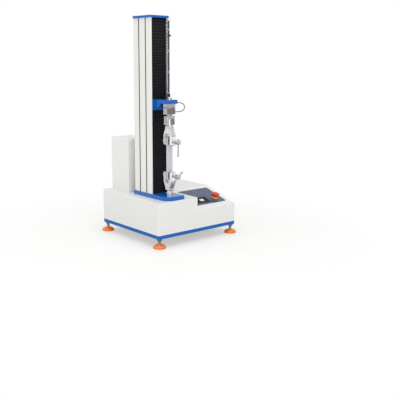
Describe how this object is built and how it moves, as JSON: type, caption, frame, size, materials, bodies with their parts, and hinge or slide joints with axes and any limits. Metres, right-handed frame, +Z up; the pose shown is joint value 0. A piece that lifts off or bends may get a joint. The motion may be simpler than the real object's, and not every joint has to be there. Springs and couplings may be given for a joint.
{
  "type": "universal testing machine",
  "caption": "Bench-top column testing machine with a driven crosshead, S-shaped load cell, screw-action grips on a flat strip, pleated bellows and a sloped control console on levelling feet.",
  "frame": {"origin": "on the bench top, midway between the left and right pads and between the frontmost clamp head and the rear pads", "axes": "+X to the operator's right, +Y to the rear, +Z up along the column"},
  "size_m": [0.533, 0.5159, 1.0992],
  "materials": {
    "white_paint": "semi-gloss powder coat",
    "blue_paint": "semi-gloss powder coat",
    "panel_film": "gloss",
    "display_glass": "gloss",
    "foot_plastic": "satin moulded",
    "zinc_steel": "zinc plated",
    "bellows_cloth": "coated cloth, folded",
    "chrome_plate": "bright plated",
    "jaw_steel": "ground and hardened",
    "cell_alloy": "satin machined",
    "dark_cover": "matt",
    "cable_jacket": "matt jacket",
    "black_plastic": "matt moulded",
    "strip_sheet": "smooth sheet",
    "dark_steel": "blackened",
    "machine_steel": "machined",
    "frame_cast": "primed",
    "alloy": "machined",
    "belt_rubber": "matt",
    "motor_paint": "matt paint",
    "yellow_plastic": "gloss",
    "red_plastic": "gloss"
  },
  "bodies": {
    "machine_frame": {"base_tray": "blue_paint", "base_casing": "white_paint", "foot_pads": "foot_plastic", "foot_studs": "zinc_steel", "pedestal_frame": "frame_cast", "work_table": "blue_paint", "column": "white_paint", "top_plate": "blue_paint", "fasteners": "zinc_steel", "guide_rails": "machine_steel", "screw_bearings": "machine_steel", "drive_belt": "belt_rubber", "servo_motor": "motor_paint", "electronics": "alloy", "rear_cover": "white_paint", "bellows_upper": "bellows_cloth", "bellows_lower": "bellows_cloth", "lower_yoke": "chrome_plate", "lower_back_jaw": "jaw_steel", "lower_back_screw": "chrome_plate", "base_adapter": "chrome_plate", "adapter_pin": "jaw_steel", "test_strip": "strip_sheet", "rod_guides": "alloy", "switch_box": "black_plastic", "control_panel": "panel_film", "display_window": "display_glass", "estop_base": "yellow_plastic", "rear_panel": "white_paint", "rear_sockets": "black_plastic"},
    "crosshead": {"carriage": "blue_paint", "crosshead_arm": "blue_paint", "arm_bolt": "chrome_plate", "rail_blocks": "machine_steel", "ball_nut": "machine_steel", "load_cell": "cell_alloy", "cell_cover": "dark_cover", "cell_cable": "cable_jacket", "cable_glands": "black_plastic", "lock_rings": "chrome_plate", "clevis": "chrome_plate", "clevis_pin": "jaw_steel", "upper_yoke": "chrome_plate", "upper_back_jaw": "jaw_steel", "upper_back_screw": "chrome_plate", "trip_block": "machine_steel"},
    "lead_screw": {"ball_screw": "machine_steel", "screw_pulley": "alloy"},
    "motor_rotor": {"motor_pulley": "alloy"},
    "upper_jaw": {"upper_front_jaw": "jaw_steel"},
    "upper_clamp": {"upper_screw": "chrome_plate"},
    "upper_handle": {"upper_bar": "chrome_plate"},
    "lower_jaw": {"lower_front_jaw": "jaw_steel"},
    "lower_clamp": {"lower_screw": "chrome_plate"},
    "lower_handle": {"lower_bar": "chrome_plate"},
    "trip_rod": {"limit_rod": "dark_steel"},
    "high_stop": {"upper_stop": "alloy"},
    "low_stop": {"lower_stop": "alloy"},
    "stop_button": {"estop_head": "red_plastic"},
    "rocker": {"power_rocker": "black_plastic"}
  },
  "joints": [
    {"name": "crosshead_slide", "type": "slide", "parent": "machine_frame", "child": "crosshead", "axis": [0, 0, 1], "range_m": [-0.07, 0.22], "deforming": ["bellows_upper", "bellows_lower", "test_strip"]},
    {"name": "screw_spin", "type": "hinge", "parent": "machine_frame", "child": "lead_screw", "pos_m": [-0.1425, -0.072, 0.244], "axis": [0, 0, 1], "range_deg": [-7926, 2526]},
    {"name": "motor_spin", "type": "hinge", "parent": "machine_frame", "child": "motor_rotor", "pos_m": [-0.1425, 0.148, 0.224], "axis": [0, 0, 1], "range_deg": [-17166, 5466]},
    {"name": "upper_jaw_slide", "type": "slide", "parent": "crosshead", "child": "upper_jaw", "axis": [0, 1, 0], "range_m": [-0.0082, 0]},
    {"name": "upper_screw_turn", "type": "hinge", "parent": "upper_jaw", "child": "upper_clamp", "pos_m": [-0.1425, -0.183, 0.509], "axis": [0, 1, 0], "range_deg": [-1482, 6]},
    {"name": "upper_bar_slide", "type": "slide", "parent": "upper_clamp", "child": "upper_handle", "axis": [0, 0, 1], "range_m": [0, 0.0494]},
    {"name": "lower_jaw_slide", "type": "slide", "parent": "machine_frame", "child": "lower_jaw", "axis": [0, 1, 0], "range_m": [-0.0082, 0]},
    {"name": "lower_screw_turn", "type": "hinge", "parent": "lower_jaw", "child": "lower_clamp", "pos_m": [-0.1425, -0.183, 0.3435], "axis": [0, 1, 0], "range_deg": [-1482, 6]},
    {"name": "lower_bar_slide", "type": "slide", "parent": "lower_clamp", "child": "lower_handle", "axis": [0.7547, 0, 0.6561], "range_m": [-0.0157, 0.0337]},
    {"name": "trip_rod_slide", "type": "slide", "parent": "machine_frame", "child": "trip_rod", "axis": [0, 0, 1], "range_m": [-0.004, 0.004], "stiffness_N_per_m": 1500, "springref_m": 0.0023},
    {"name": "high_stop_slide", "type": "slide", "parent": "trip_rod", "child": "high_stop", "axis": [0, 0, 1], "range_m": [-0.2, 0.04]},
    {"name": "low_stop_slide", "type": "slide", "parent": "trip_rod", "child": "low_stop", "axis": [0, 0, 1], "range_m": [-0.2, 0.04]},
    {"name": "stop_push", "type": "slide", "parent": "machine_frame", "child": "stop_button", "axis": [0, -0.2775, 0.9607], "range_m": [-0.004, 0]},
    {"name": "rocker_tilt", "type": "hinge", "parent": "machine_frame", "child": "rocker", "pos_m": [0.1905, 0.2415, 0.157], "axis": [1, 0, 0], "range_deg": [-18, 0]}
  ],
  "couplings": [
    {"joint": "screw_spin", "follows": "crosshead_slide", "rad_per_m": -628.32},
    {"joint": "motor_spin", "follows": "crosshead_slide", "rad_per_m": -1361.4},
    {"joint": "upper_screw_turn", "follows": "upper_jaw_slide", "rad_per_m": 3141.6},
    {"joint": "lower_screw_turn", "follows": "lower_jaw_slide", "rad_per_m": 3141.6}
  ]
}
